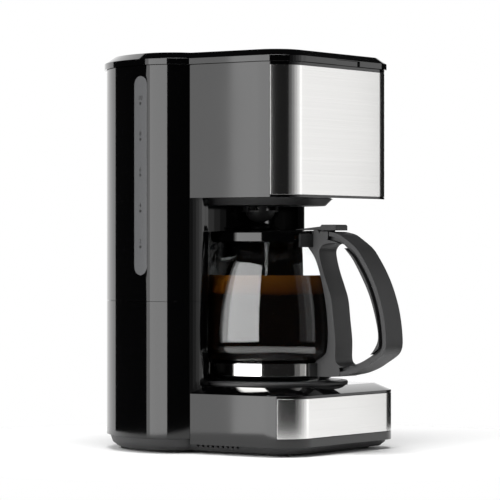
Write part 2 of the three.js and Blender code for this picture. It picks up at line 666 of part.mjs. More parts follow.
function edgeBand(outerDepth, innerDepth, x0, x1) {
  return extrudeAcross([...handleEdge(outerDepth), ...handleEdge(innerDepth).reverse()], x0, x1);
}

const cover = { thickness: 3.6, groove: 3.3, grooveDepth: 2.6, top: -84.3, bottom: -95.4 };
const halfHandle = handleWidth / 2;
const slotHalf = leverWidth / 2 + gap;

function handleCore() {
  const inside = cover.thickness + gap;
  const shape = new THREE.Shape([
    ...handleEdge(inside), vec(-95, 66.3), vec(-84, 65.7), vec(-55, 65.7), vec(-55, 189.2),
    ...arc(lidPinY, lidPinZ, 3.7, 0, 180, 6), vec(-75, 191.1), vec(-83.2, 190.9),
  ]);
  shape.holes.push(new THREE.Path(handleHole));
  const strap = cut(extrudeAcross(shape, -halfHandle, halfHandle), glassClearance);
  const neckSaddle = cut(ringSector(carafeY, 51.6, 54.4, -119, -61, 177.5, 189.2, 10), glassClearance);
  const bandSaddle = ringSector(carafeY, 56.2, 58.4, -112, -68, 66, 77.4, 8);
  const grooves = [-1, 1].map((side) => edgeBand(
    inside - 1, inside + cover.groove,
    Math.min(side * (halfHandle - cover.grooveDepth), side * 20),
    Math.max(side * (halfHandle - cover.grooveDepth), side * 20)));
  return cut(
    join(strap, neckSaddle, bandSaddle), ...grooves,
    box(-slotHalf, slotHalf, lidPinY - 3.8, -50, lidPinZ - 3.8, 200),
    box(-slotHalf, slotHalf, -95, -71, 189.6, 200),
    crossRod(lidPinY, lidPinZ, -20, 20, lidPinRadius + gap, 12),
    rod(0, -80, 60, 76.5, 1.9, 12), rod(0, -80, 60, 68.2, 3.7, 12));
}
add('handle_core', 'matte', handleCore());
add('handle_cover', 'matte', cut(
  edgeBand(0, cover.thickness, -halfHandle, halfHandle),
  box(-20, 20, cover.top, -50, 170, 200),
  box(-20, 20, cover.bottom, -50, 50, 90),
  box(-slotHalf, slotHalf, -90, -70, 189.6, 200)));
add('handle_screw', 'aluminium', turned([
  [0, 66.2], [2.9, 66.2], [3.3, 66.6], [3.3, 67.9], [1.6, 67.9], [1.6, 75.5], [0, 76.2],
], 0, -80, 12));

// ---------------------------------------------------------------- carafe lid
const dome = { top: 199.2, radius: 28, spread: 42, skin: 2 };

// A cap of a sphere over the drip stop, down to z0.
function domeCap(inwards, z0) {
  const points = [];
  for (let i = 0; i <= 6; i++) {
    const angle = rad((dome.spread * i) / 6);
    const radius = dome.radius - inwards;
    points.push([radius * Math.sin(angle), dome.top - dome.radius + radius * Math.cos(angle)]);
  }
  return turned([[0, z0], [points[6][0], z0], ...points.reverse()], 0, brewY, 20);
}

function carafeLid() {
  const plate = turned([
    [0, 189.6], [52.9, 189.6], [52.9, 182.6], [53.6, 182], [55, 182.8], [55, 190], [54, 191.3], [51, 191.8],
    [0, 192.2],
  ], 0, carafeY, roundSteps);
  const tongueSide = [
    vec(30, 189.6), vec(57, 187.4), vec(61, 187.2), vec(61, 188.6), vec(56, 189.8), vec(30, 191.9),
  ];
  const tongue = common(
    extrudeAcross(tongueSide, -18, 18),
    join(rod(0, 44, 180, 200, 16.5, 28), box(-16.5, 16.5, 28, 44, 180, 200)));
  const dripHoles = [90, 210, 330].map((angle) => {
    const [spot] = arc(0, brewY, 11, angle, angle, 1);
    return rod(spot.x, spot.y, 180, 205, 1.5, 8);
  });
  const skirtNotches = [[-125, -55], [49, 131]].map(([from, to]) => (
    ringSector(carafeY, 50, 60, from, to, 180, 189.6, 12)));
  return cut(
    join(cut(plate, ...skirtNotches), tongue, domeCap(0, 190)),
    domeCap(dome.skin, 180),
    box(-60, 60, -80, lidPinY + 4.1, 180, 200),
    ...dripHoles);
}
add('carafe_lid', 'gloss', carafeLid());

function lidLever() {
  const half = leverWidth / 2;
  const outline = [
    vec(-47, 192.5), vec(-47, 193), vec(-60, 194.2), vec(-72.5, 195.4), vec(-73.8, 197), vec(-87.2, 197),
    vec(-88.4, 195.8), vec(-88.4, 192), vec(-76, 192), vec(lidPinY - knuckleRadius, 190.5),
    vec(lidPinY - knuckleRadius, lidPinZ), vec(lidPinY + knuckleRadius, lidPinZ),
    vec(lidPinY + knuckleRadius, 192.5),
  ];
  const knuckle = crossRod(lidPinY, lidPinZ, -half, half, knuckleRadius);
  const body = join(extrudeAcross(outline, -half, half), knuckle);
  return cut(body, crossRod(lidPinY, lidPinZ, -20, 20, lidPinRadius + gap, 12));
}
add('lid_lever', 'matte', lidLever());
add('carafe_lid_pin', 'aluminium', crossRod(lidPinY, lidPinZ, -13.2, 13.2, lidPinRadius, 12));

export default machine;
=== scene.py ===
"""The looks of a drip coffee maker: smooth casings, glass, steel and fine details over its CAD frame."""
import json
import math

import bpy
from mathutils import Matrix, Vector


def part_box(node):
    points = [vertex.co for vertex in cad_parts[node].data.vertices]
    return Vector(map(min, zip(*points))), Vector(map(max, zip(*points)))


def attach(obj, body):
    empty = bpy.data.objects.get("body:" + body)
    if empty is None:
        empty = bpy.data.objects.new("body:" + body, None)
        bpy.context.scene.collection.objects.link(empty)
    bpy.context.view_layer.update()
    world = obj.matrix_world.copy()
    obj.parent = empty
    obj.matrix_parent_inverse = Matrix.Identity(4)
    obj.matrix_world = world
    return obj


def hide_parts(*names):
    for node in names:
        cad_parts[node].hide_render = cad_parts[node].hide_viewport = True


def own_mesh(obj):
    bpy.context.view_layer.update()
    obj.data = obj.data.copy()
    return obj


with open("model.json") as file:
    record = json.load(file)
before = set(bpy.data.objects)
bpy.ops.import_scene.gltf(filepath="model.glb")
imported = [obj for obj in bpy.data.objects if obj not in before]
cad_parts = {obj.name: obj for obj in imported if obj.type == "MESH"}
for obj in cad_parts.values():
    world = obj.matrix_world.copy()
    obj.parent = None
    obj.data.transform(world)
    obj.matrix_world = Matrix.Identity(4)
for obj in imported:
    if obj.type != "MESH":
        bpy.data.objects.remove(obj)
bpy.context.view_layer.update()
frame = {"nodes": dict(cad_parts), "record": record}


# ---------------------------------------------------------------- driving sizes, in millimetres
def corners(node):
    """Lowest and highest corner of a CAD node, in millimetres."""
    low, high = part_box(node)
    return low * 1000, high * 1000


base_low, base_high = corners("base_shell")
head_low, head_high = corners("head_shell")
pan_low, pan_high = corners("base_pan")
lower_low, lower_high = corners("lower_column")
upper_low, upper_high = corners("upper_column")
lid_low, lid_high = corners("lid_shell")
panel_low, panel_high = corners("head_panel")
skirt_low, skirt_high = corners("base_panel")
plate_low, plate_high = corners("warming_plate")
ring_low, ring_high = corners("plate_ring")
basket_low, basket_high = corners("brew_basket")
gauge_low, gauge_high = corners("gauge_window")
coffee_high = corners("carafe_coffee")[1]
band_low, band_high = corners("carafe_band")
lid_pin_low, lid_pin_high = corners("carafe_lid_pin")
pin_low, pin_high = corners("lid_pin_left")

HALF_WIDTH = base_high.x
GAP = 0.3
WALL = 2.4
BODY_CORNER = 30
BASE_BEVEL = 14.5
BASE_EDGE = base_high.z - 6
COLUMN_RADIUS = 106
COLUMN_CORNER = 37
CORNER_OFFSET = 6.5
COLUMN_Y = lower_high.y - COLUMN_RADIUS
BAY_RADIUS = 69.4
BAY_Y = 5
LID_OVERHANG = 2
LID_BEVEL = 8
SHEET = 0.8
PANEL_END = 25  # degrees round the corner from the side, where the steel ends
RECESS_END = PANEL_END - 0.6
CARAFE_Y = (plate_low.y + plate_high.y) / 2
BREW_Y = (basket_low.y + basket_high.y) / 2
HINGE_Y = (pin_low.y + pin_high.y) / 2
HINGE_Z = (pin_low.z + pin_high.z) / 2
HINGE_RADIUS = (lid_high.z - lid_low.z) / 2
HINGE_X = 30
KNUCKLE_HALF = 4  # half the length of each fixed knuckle
KNUCKLE_SLOT = KNUCKLE_HALF + GAP
LID_HALF = 120  # beyond the lid's sides and front
LID_UNDER, LID_OVER = 330, 350  # heights below and above the whole lid
LID_RIM = 5.2
CARAFE_PIN_Y = (lid_pin_low.y + lid_pin_high.y) / 2
CARAFE_PIN_Z = (lid_pin_low.z + lid_pin_high.z) / 2
HALF_HANDLE = 13.5
ROUND = 96


# ---------------------------------------------------------------- outlines and solids
def arc(cx, cy, radius, start, end, steps):
    """Points on an arc, both ends included, with angles in degrees."""
    angles = [math.radians(start + (end - start) * i / steps) for i in range(steps + 1)]
    return [(cx + radius * math.cos(a), cy + radius * math.sin(a)) for a in angles]


def mirrored(right):
    """The right half of an outline, from front to back, completed on the left."""
    left = [(-x, y) for x, y in reversed(right) if x > 1e-6]
    return right + left


REACH = COLUMN_RADIUS - COLUMN_CORNER
CORNER_X = math.sqrt(REACH ** 2 - CORNER_OFFSET ** 2)
CORNER_Y = COLUMN_Y + CORNER_OFFSET
TANGENT = math.degrees(math.atan2(CORNER_OFFSET, CORNER_X))


def column_back(inset, start):
    """The right half of the column's outline, from its front corner at an angle to its back."""
    corner = arc(CORNER_X, CORNER_Y, COLUMN_CORNER - inset, start, TANGENT, 24)
    back = arc(0, COLUMN_Y, COLUMN_RADIUS - inset, TANGENT, 90, 40)
    return corner + back[1:]


def footprint(front, inset):
    """The front block with the column behind it."""
    side = HALF_WIDTH - inset
    seam = -math.degrees(math.acos((side - CORNER_X) / (COLUMN_CORNER - inset)))
    corner = arc(HALF_WIDTH - BODY_CORNER, front + BODY_CORNER, BODY_CORNER - inset, -90, 0, 24)
    return mirrored(corner + column_back(inset, seam))


def block(front, inset):
    """The front block alone: it follows the column's front and fills the bay behind it."""
    side = HALF_WIDTH - inset
    follow = COLUMN_CORNER + GAP
    seam = -math.degrees(math.acos((side - CORNER_X) / follow))
    bay = BAY_RADIUS - GAP - max(0, inset) * 0.02
    tip = -math.degrees(math.acos((bay - CORNER_X) / follow))
    corner = arc(HALF_WIDTH - BODY_CORNER, front + BODY_CORNER, BODY_CORNER - inset, -90, 0, 24)
    wing = arc(CORNER_X, CORNER_Y, follow, seam, tip, 12)
    return mirrored(corner + wing + arc(0, BAY_Y, bay, 0, 90, 32))


def crescent(inset):
    """The column with the bay scooped out of its front."""
    bay = BAY_RADIUS + inset
    radius = COLUMN_CORNER - inset
    tip = -math.degrees(math.acos(min(1, max(-1, (bay - CORNER_X) / radius))))
    outside = mirrored(column_back(inset, tip))
    return outside + arc(0, BAY_Y, bay, 180, 0, 64)


def shape(vertices, faces):
    """A scratch object from points in millimetres."""
    data = bpy.data.meshes.new("shape")
    data.from_pydata([Vector(v) / 1000 for v in vertices], [], faces)
    made = bpy.data.objects.new("shape", data)
    bpy.context.scene.collection.objects.link(made)
    return made


def loft(levels):
    """A closed solid through outlines of equal point count: (outline, z) pairs from the bottom up."""
    count = len(levels[0][0])
    vertices = [(x, y, z) for outline, z in levels for x, y in outline]
    faces = [tuple(reversed(range(count)))]
    for ring in range(len(levels) - 1):
        a = ring * count
        faces += [(a + i, a + (i + 1) % count, a + count + (i + 1) % count, a + count + i)
                  for i in range(count)]
    faces.append(tuple(range((len(levels) - 1) * count, len(levels) * count)))
    return shape(vertices, faces)


def prism(outline, z0, z1):
    return loft([(outline, z0), (outline, z1)])


def across(outline, x0, x1):
    """A prism over an anticlockwise outline of (y, z) points, from x0 to x1."""
    made = prism(outline, x0, x1)
    made.data.transform(Matrix(((0, 0, 1, 0), (1, 0, 0, 0), (0, 1, 0, 0), (0, 0, 0, 1))))
    return made


def turned(profile, y, steps=ROUND, x=0):
    """A body turned about an upright axis, from (radius, z) points: outwards, up and back in."""
    vertices = []
    rings = []
    for radius, z in profile:
        if radius < 1e-6:
            rings.append([len(vertices)] * steps)
            vertices.append((x, y, z))
        else:
            rings.append(list(range(len(vertices), len(vertices) + steps)))
            vertices += [(x + px, y + py, z) for px, py in arc(0, 0, radius, 0, 360, steps)[:-1]]
    pairs = list(zip(rings, rings[1:]))
    if profile[0][0] > 1e-6:
        pairs.append((rings[-1], rings[0]))
    faces = []
    for low, high in pairs:
        for i in range(steps):
            j = (i + 1) % steps
            face = list(dict.fromkeys((low[i], low[j], high[j], high[i])))
            if len(face) > 2:
                faces.append(tuple(face))
    return shape(vertices, faces)


def rod(x, y, z0, z1, radius, steps=32):
    return turned([(0, z0), (radius, z0), (radius, z1), (0, z1)], y, steps, x)


def cross_rod(y, z, x0, x1, radius, steps=40):
    return across(arc(y, z, radius, 0, 360, steps)[:-1], x0, x1)


def block_box(x0, x1, y0, y1, z0, z1):
    return prism([(x0, y0), (x1, y0), (x1, y1), (x0, y1)], z0, z1)


def combined(body, operation, tools):
    """The body after a boolean with each tool, which are used up."""
    for tool in tools:
        step = body.modifiers.new("combine", "BOOLEAN")
        step.operation = operation
        step.object = tool
        step.solver = "EXACT"
    bpy.context.view_layer.update()
    graph = bpy.context.evaluated_depsgraph_get()
    data = bpy.data.meshes.new_from_object(body.evaluated_get(graph))
    body.modifiers.clear()
    body.data = data
    for tool in tools:
        bpy.data.objects.remove(tool)
    return body


def cut(body, *tools):
    return combined(body, "DIFFERENCE", tools)


def join(body, *tools):
    return combined(body, "UNION", tools)


def common(body, *tools):
    return combined(body, "INTERSECT", tools)


def spline(points, steps):
    """A smooth curve through the points, as a list of evenly counted points."""
    made = []
    last = len(points) - 1
    for i in range(steps + 1):
        place = last * i / steps
        k = min(int(place), last - 1)
        t = place - k
        p0, p1 = points[max(k - 1, 0)], points[k]
        p2, p3 = points[k + 1], points[min(k + 2, last)]
        made.append(tuple(
            b + t * ((c - a) / 2 + t * ((a - 2.5 * b + 2 * c - d / 2) + t * (1.5 * (b - c) + (d - a) / 2)))
            for a, b, c, d in zip(p0, p1, p2, p3)))
    return made


# ---------------------------------------------------------------- materials
def material(name, colour, roughness, metallic=0.0, vary=0.12, grain=900, bump=0.04, stretch=(1, 1, 1),
             spread=0.05, ior=1.5, transmission=0.0, coat=0.0):
    """A surface whose colour, roughness and fine relief vary with a procedural grain."""
    made = bpy.data.materials.new(name)
    made.use_nodes = True
    nodes, links = made.node_tree.nodes, made.node_tree.links
    shader = nodes["Principled BSDF"]
    shader.inputs["Metallic"].default_value = metallic
    shader.inputs["IOR"].default_value = ior
    shader.inputs["Transmission Weight"].default_value = transmission
    shader.inputs["Coat Weight"].default_value = coat
    place = nodes.new("ShaderNodeTexCoord")
    mapping = nodes.new("ShaderNodeMapping")
    mapping.inputs["Scale"].default_value = stretch
    links.new(place.outputs["Object"], mapping.inputs["Vector"])
    fine = nodes.new("ShaderNodeTexNoise")
    fine.inputs["Scale"].default_value = grain
    fine.inputs["Detail"].default_value = 4
    broad = nodes.new("ShaderNodeTexNoise")
    broad.inputs["Scale"].default_value = 14
    links.new(mapping.outputs["Vector"], fine.inputs["Vector"])
    links.new(place.outputs["Object"], broad.inputs["Vector"])
    tint = nodes.new("ShaderNodeValToRGB")
    tint.color_ramp.elements[0].position = 0.25
    tint.color_ramp.elements[1].position = 0.75
    tint.color_ramp.elements[0].color = (*[c * (1 - vary) for c in colour], 1)
    tint.color_ramp.elements[1].color = (*[min(1, c * (1 + vary)) for c in colour], 1)
    links.new(fine.outputs["Fac"], tint.inputs["Fac"])
    links.new(tint.outputs["Color"], shader.inputs["Base Color"])
    rough = nodes.new("ShaderNodeMapRange")
    rough.inputs["To Min"].default_value = max(0.0, roughness - spread)
    rough.inputs["To Max"].default_value = roughness + spread
    links.new(broad.outputs["Fac"], rough.inputs["Value"])
    links.new(rough.outputs["Result"], shader.inputs["Roughness"])
    relief = nodes.new("ShaderNodeBump")
    relief.inputs["Strength"].default_value = bump
    relief.inputs["Distance"].default_value = 0.0001
    links.new(fine.outputs["Fac"], relief.inputs["Height"])
    links.new(relief.outputs["Normal"], shader.inputs["Normal"])
    return made


def coffee_with_painted_glow_material():
    """Black coffee, with painted amber light towards its level, standing in for light shining through it."""
    made = material("coffee", (0.01, 0.004, 0.002), 0.03, vary=0.05, bump=0.0, spread=0.01, ior=1.33)
    nodes, links = made.node_tree.nodes, made.node_tree.links
    shader = nodes["Principled BSDF"]
    place = nodes.new("ShaderNodeTexCoord")
    axes = nodes.new("ShaderNodeSeparateXYZ")
    depth = nodes.new("ShaderNodeMapRange")
    depth.inputs["From Min"].default_value = (coffee_high.z - 20) / 1000
    depth.inputs["From Max"].default_value = coffee_high.z / 1000
    # painted light: the base colour turns amber over the top 20 mm, in place of light shining through the
    # coffee
    ramp = nodes.new("ShaderNodeValToRGB")
    ramp.color_ramp.elements[0].color = (0.004, 0.0015, 0.0006, 1)
    ramp.color_ramp.elements[0].position = 0.12
    ramp.color_ramp.elements[1].color = (0.11, 0.040, 0.004, 1)
    middle = ramp.color_ramp.elements.new(0.3)
    middle.color = (0.045, 0.014, 0.0014, 1)
    links.new(place.outputs["Object"], axes.inputs["Vector"])
    links.new(axes.outputs["Z"], depth.inputs["Value"])
    links.new(depth.outputs["Result"], ramp.inputs["Fac"])
    links.new(ramp.outputs["Color"], shader.inputs["Base Color"])
    return made


looks = {
    "gloss_black": material("gloss_black", (0.0006, 0.0006, 0.0007), 0.06, bump=0.01, grain=400,
                            spread=0.025),
    "matte_black": material("matte_black", (0.015, 0.015, 0.0155), 0.5, bump=0.35, grain=2600),
    "brushed_steel": material("brushed_steel", (0.70, 0.695, 0.685), 0.15, 1.0, vary=0.05, grain=12,
                              bump=0.015, stretch=(0.5, 0.5, 340), spread=0.02),
    "polished_steel": material("polished_steel", (0.80, 0.79, 0.77), 0.08, 1.0, vary=0.03, bump=0.01,
                               spread=0.03),
    "aluminium": material("aluminium", (0.62, 0.63, 0.64), 0.38, 1.0, vary=0.08, bump=0.08),
    "plate_enamel": material("plate_enamel", (0.030, 0.030, 0.032), 0.34, bump=0.2, grain=1800),
    "gauge_plastic": material("gauge_plastic", (0.10, 0.101, 0.104), 0.2, vary=0.06, bump=0.02, coat=0.3),
    "carafe_glass": material("carafe_glass", (0.97, 0.98, 0.98), 0.012, vary=0.01, bump=0.004, grain=30,
                             spread=0.008, ior=1.47, transmission=1.0),
    "coffee": coffee_with_painted_glow_material(),
    "gold_mesh": material("gold_mesh", (0.55, 0.42, 0.18), 0.35, 1.0, vary=0.3, bump=0.6, grain=2200),
    "rubber": material("rubber", (0.022, 0.022, 0.022), 0.75, bump=0.3, grain=1600),
    "silicone": material("silicone", (0.62, 0.60, 0.56), 0.5, vary=0.05, bump=0.06),
    "tank_liner": material("tank_liner", (0.05, 0.052, 0.056), 0.36, bump=0.1, grain=1200),
    "print": material("print", (0.012, 0.012, 0.012), 0.45, vary=0.05, bump=0.02),
}
slot_of = {part["node"]: part["material_slot"] for part in frame["record"]["subparts"]}
for node_name, node in frame["nodes"].items():
    node.data.materials.clear()
    node.data.materials.append(looks[slot_of[node_name]])


def finished(made, name, body, slot, *nodes, edge=0.5, sharp=32, look=None):
    """Names, shades and rounds a piece, gives it its body and finish, and hides the nodes it stands for."""
    made.name = name
    made.data.name = name
    made.data.materials.clear()
    made.data.materials.append(looks[look or slot])
    for polygon in made.data.polygons:
        polygon.use_smooth = True
    made.data.set_sharp_from_angle(angle=math.radians(sharp))
    if edge:
        rounding = made.modifiers.new("edges", "BEVEL")
        rounding.width = edge / 1000
        rounding.segments = 3
        rounding.limit_method = "ANGLE"
        rounding.angle_limit = math.radians(sharp)
        rounding.use_clamp_overlap = True
        rounding.harden_normals = True
    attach(made, body)
    if nodes:
        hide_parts(*nodes)
    return made


def panel_strip(front, outer, inner, end, z0, z1):
    """The steel that wraps a front wall and both its corners."""
    cx, cy = HALF_WIDTH - BODY_CORNER, front + BODY_CORNER

    def around(inset):
        radius = BODY_CORNER - inset
        return arc(-cx, cy, radius, 180 + end, 270, 20) + arc(cx, cy, radius, 270, 360 - end, 20)
    return prism(around(outer) + list(reversed(around(inner))), z0, z1)


# ---------------------------------------------------------------- base
VENTS = 9
VENT_PITCH = 5.2
VENT_TILT = 24


def base_pan():
    """The dark pan under the machine, with slanted vents along its left side."""
    levels = [(footprint(base_low.y, inset), z) for inset, z in
              ((10, pan_low.z), (5.5, pan_low.z + 3.5), (3, pan_high.z))]
    pan = loft(levels)
    slots = []
    for i in range(VENTS):
        slot = block_box(-12, 12, -1.1, 1.1, -2.6, 2.6)
        slot.data.transform(Matrix.Rotation(math.radians(VENT_TILT), 4, "X"))
        slot.data.transform(Matrix.Translation(Vector((4 - HALF_WIDTH, i * VENT_PITCH - 38, 8.6)) / 1000))
        slots.append(slot)
    finished(cut(pan, *slots), "base_pan_form", "machine", "matte_black", "base_pan", edge=0.4)


def base_shell():
    """The glossy base with its sloping edge, and the steel strip round its front."""
    z0, z1 = base_low.z, base_high.z
    shell = loft([(block(base_low.y, inset), z) for inset, z in
                  ((0, z0), (0, BASE_EDGE), (BASE_BEVEL, z1))])
    bottom, top = skirt_low.z - GAP, skirt_high.z + GAP
    recess = panel_strip(base_low.y, -1, SHEET + GAP, RECESS_END, bottom, top)
    rocker_low, rocker_high = corners("switch_housing")
    seat = block_box(rocker_low.x - 1, HALF_WIDTH + 2, rocker_low.y + 1.3, rocker_high.y - 1.3,
                     rocker_low.z + 1, rocker_high.z - 1)
    well = rod(0, CARAFE_Y, z1 - 6, z1 + 2, 63.5, ROUND)
    finished(cut(shell, recess, seat, well), "base_shell_form", "machine", "gloss_black", "base_shell")
    panel = panel_strip(base_low.y, 0, SHEET, PANEL_END, skirt_low.z, skirt_high.z)
    finished(panel, "base_panel_form", "machine", "brushed_steel", "base_panel", edge=0.25)


def plate():
    """The warming plate and the raised ring round it."""
    ring = [(62.1, ring_low.z), (63.2, ring_low.z), (63.2, 58.1), (66.8, 58.1), (66.8, 60.2),
            (66, ring_high.z), (62.1, ring_high.z)]
    finished(turned(ring, CARAFE_Y), "plate_ring_form", "machine", "matte_black", "plate_ring", edge=0.3)
    disc = [(0, 59.6), (60.2, 59.6), (60.4, 57), (61.7, 57), (61.7, 60.6), (60.8, plate_high.z),
            (30, plate_high.z), (29.6, plate_high.z - 0.15), (0, plate_high.z - 0.15)]
    finished(turned(disc, CARAFE_Y), "warming_plate_form", "machine", "plate_enamel", "warming_plate",
             edge=0.15)


def feet():
    for i in range(1, 5):
        low, high = corners(f"foot_{i}")
        x, y = (low.x + high.x) / 2, (low.y + high.y) / 2
        pad = [(0, 0.3), (5.6, 0.3), (6, 0), (7.7, 0), (8.3, 0.4), (8.5, 1), (8.5, 2.2)]
        pad += [(3, 2.2), (3, 7), (0, 7)]
        finished(turned(pad, y, 48, x), f"foot_{i}_form", "machine", "rubber", f"foot_{i}", edge=0)


# ---------------------------------------------------------------- column and level window
GAUGE_ANGLE = math.radians(8.7)
GAUGE_WIDTH = 15.5


def on_gauge(made):
    """Takes a shape drawn flat, facing up, to the face of the level window."""
    sin, cos = math.sin(GAUGE_ANGLE), math.cos(GAUGE_ANGLE)
    turn = Matrix(((-sin, 0, -cos, 0), (-cos, 0, sin, 0), (0, 1, 0, 0), (0, 0, 0, 1)))
    made.data.transform(turn)
    made.data.transform(Matrix.Translation((0, COLUMN_Y / 1000, 0)))
    return made


def gauge_slot(margin):
    radius = GAUGE_WIDTH / 2 + margin
    low, high = gauge_low.z + GAUGE_WIDTH / 2, gauge_high.z - GAUGE_WIDTH / 2
    outline = arc(0, high, radius, 0, 180, 24) + arc(0, low, radius, 180, 360, 24)
    return on_gauge(prism(outline, COLUMN_RADIUS - 12, COLUMN_RADIUS + 12))


def column():
    """The round tank column in two parts, and the level window in the upper one."""
    def tube(z0, z1):
        return cut(prism(crescent(0), z0, z1), prism(crescent(WALL), z0 - 1, z1 + 1))
    gland_low, gland_high = corners("cord_gland")
    middle = (gland_low.z + gland_high.z) / 2
    bore = rod(0, 0, 130, 145, 6.9)
    bore.data.transform(Matrix.Rotation(math.radians(-90), 4, "X"))
    bore.data.transform(Matrix.Translation((0, 0, middle / 1000)))
    finished(cut(tube(lower_low.z, lower_high.z), bore), "lower_column_form", "machine", "gloss_black",
             "lower_column")
    finished(cut(tube(upper_low.z, upper_high.z), gauge_slot(GAP)), "upper_column_form", "machine",
             "gloss_black", "upper_column")
    wall = turned([(COLUMN_RADIUS - 3.2, gauge_low.z - 5), (COLUMN_RADIUS, gauge_low.z - 5),
                   (COLUMN_RADIUS, gauge_high.z + 5), (COLUMN_RADIUS - 3.2, gauge_high.z + 5)],
                  COLUMN_Y, 240)
    front_half = block_box(-COLUMN_RADIUS - 5, -80, COLUMN_Y - 5, COLUMN_Y + 40, gauge_low.z - 9,
                           gauge_high.z + 9)
    finished(common(gauge_slot(0), common(wall, front_half)), "gauge_window_form", "machine",
             "gauge_plastic", "gauge_window", edge=0.35)


MARK_TOP = gauge_high.z - 23.6
MARK_PITCH = 30.9
DOT_RADIUS = 1.25
NUMBER_HEIGHT = 5.2
NUMBER_ABOVE = 3.2


def gauge_marks():
    """Dots and plain cup numbers, evenly spaced up the window."""
    for i, cups in enumerate(("10", "8", "6", "4", "2")):
        z = MARK_TOP - i * MARK_PITCH
        spot = arc(0, z, DOT_RADIUS, 0, 360, 24)[:-1]
        dot = on_gauge(prism(spot, COLUMN_RADIUS - 0.1, COLUMN_RADIUS + 0.12))
        finished(dot, f"gauge_dot_{cups}", "machine", "gauge_plastic", edge=0, look="print")
        text = bpy.data.curves.new(f"cups_{cups}", "FONT")
        text.body = cups
        text.size = NUMBER_HEIGHT / 1000
        text.align_x = "CENTER"
        text.extrude = 0.00005
        drawn = bpy.data.objects.new("cups", text)
        bpy.context.scene.collection.objects.link(drawn)
        bpy.context.view_layer.update()
        graph = bpy.context.evaluated_depsgraph_get()
        data = bpy.data.meshes.new_from_object(drawn.evaluated_get(graph))
        bpy.data.objects.remove(drawn)
        number = bpy.data.objects.new("number", data)
        bpy.context.scene.collection.objects.link(number)
        place = Vector((0, z + NUMBER_ABOVE, COLUMN_RADIUS + 0.08)) / 1000
        data.transform(Matrix.Translation(place))
        finished(on_gauge(number), f"gauge_number_{cups}", "machine", "gauge_plastic", edge=0, look="print")


# ---------------------------------------------------------------- head
def head():
    """The brewing head with its steel strip, and the basket inside it."""
    z0, z1 = head_low.z, head_high.z
    shell = prism(block(head_low.y, 0), z0, z1)
    hollow = prism(block(head_low.y, WALL), z0 + WALL, z1 + 1)
    bottom, top = panel_low.z - GAP, panel_high.z + GAP
    recess = panel_strip(head_low.y, -1, SHEET + GAP, RECESS_END, bottom, top)
    hole = rod(0, BREW_Y, z0 - 1, z0 + 5, 64.6, ROUND)
    finished(cut(shell, hollow, recess, hole), "head_shell_form", "machine", "gloss_black", "head_shell")
    panel = panel_strip(head_low.y, 0, SHEET, PANEL_END, panel_low.z, panel_high.z)
    finished(panel, "head_panel_form", "machine", "brushed_steel", "head_panel", edge=0.25)
    basket = [(5.5, 213.9), (57.5, 213.9), (63.5, 219.8), (63.9, 226), (65, 300), (67, 301), (67, 303),
              (62.8, 303), (61.4, 227), (56.4, 218.2), (14, 215.8), (5.5, 215.8)]
    finished(turned(basket, BREW_Y), "brew_basket_form", "machine", "matte_black", "brew_basket", edge=0.3)


def slab(y0, y1, z0, z1):
    """A block wider than the lid."""
    return block_box(-LID_HALF, LID_HALF, y0, y1, z0, z1)


def top_lid():
    """The flip lid with its hinge barrels, and the fixed cap and knuckles behind it."""
    def blank():
        return loft([(footprint(head_low.y, inset), z) for inset, z in (
            (-LID_OVERHANG, lid_low.z), (-LID_OVERHANG, lid_low.z + LID_RIM),
            (LID_BEVEL - LID_OVERHANG, lid_high.z))])
    hollow = loft([(footprint(head_low.y, inset), z) for inset, z in (
        (0.2, lid_low.z - 1), (0.2, lid_low.z + 4.5), (7.2, lid_high.z - 2.2))])
    hollow = common(hollow, slab(-LID_HALF, HINGE_Y - 8, LID_UNDER, LID_OVER))
    scoop = block_box(-13, 24, head_low.y - 6, head_low.y - 0.6, lid_low.z - 1, lid_low.z + 4.5)
    rear = slab(HINGE_Y, 160, LID_UNDER, LID_OVER)
    slots = [block_box(x - KNUCKLE_SLOT, x + KNUCKLE_SLOT, HINGE_Y - 6.4, HINGE_Y + 8, LID_UNDER, LID_OVER)
             for x in (-HINGE_X, HINGE_X)]
    lid = cut(blank(), hollow, scoop, rear, *slots)
    finished(lid, "lid_shell_form", "top_lid", "gloss_black", "lid_shell")
    spans = ((-88, -HINGE_X - KNUCKLE_SLOT), (-HINGE_X + KNUCKLE_SLOT, HINGE_X - KNUCKLE_SLOT),
             (HINGE_X + KNUCKLE_SLOT, 88))
    for i, (x0, x1) in enumerate(spans):
        barrel = common(cross_rod(HINGE_Y, HINGE_Z, x0, x1, HINGE_RADIUS - 0.02), blank())
        finished(barrel, f"lid_barrel_{i + 1}", "top_lid", "gloss_black", edge=0.3)
    cap = cut(
        common(blank(), slab(HINGE_Y, 160, LID_UNDER, LID_OVER)),
        cross_rod(HINGE_Y, HINGE_Z, -90, 90, HINGE_RADIUS + 0.6),
        slab(HINGE_Y - 1, HINGE_Y + 6.5, HINGE_Z, LID_OVER),
        slab(HINGE_Y - 1, HINGE_Y + 4.5, LID_UNDER, HINGE_Z))
    finished(cap, "lid_rear_cap_form", "machine", "gloss_black", "lid_rear_cap")
    for side, word in ((-1, "left"), (1, "right")):
        x = side * HINGE_X
        x0, x1 = x - KNUCKLE_HALF, x + KNUCKLE_HALF
        finished(cross_rod(HINGE_Y, HINGE_Z, x0, x1, 4.2), f"hinge_knuckle_{word}", "machine",
                 "gloss_black", edge=0.3)
        web = block_box(x0, x1, HINGE_Y, HINGE_Y + 8, HINGE_Z - 4, HINGE_Z + 4)
        finished(web, f"hinge_web_{word}", "machine", "gloss_black", edge=0.3)


# ---------------------------------------------------------------- drip stop
SPRING_WIRE = 0.4
SPRING_TURNS = 4
SPRING_STEPS = 28  # round each turn
SPRING_SIDES = 10


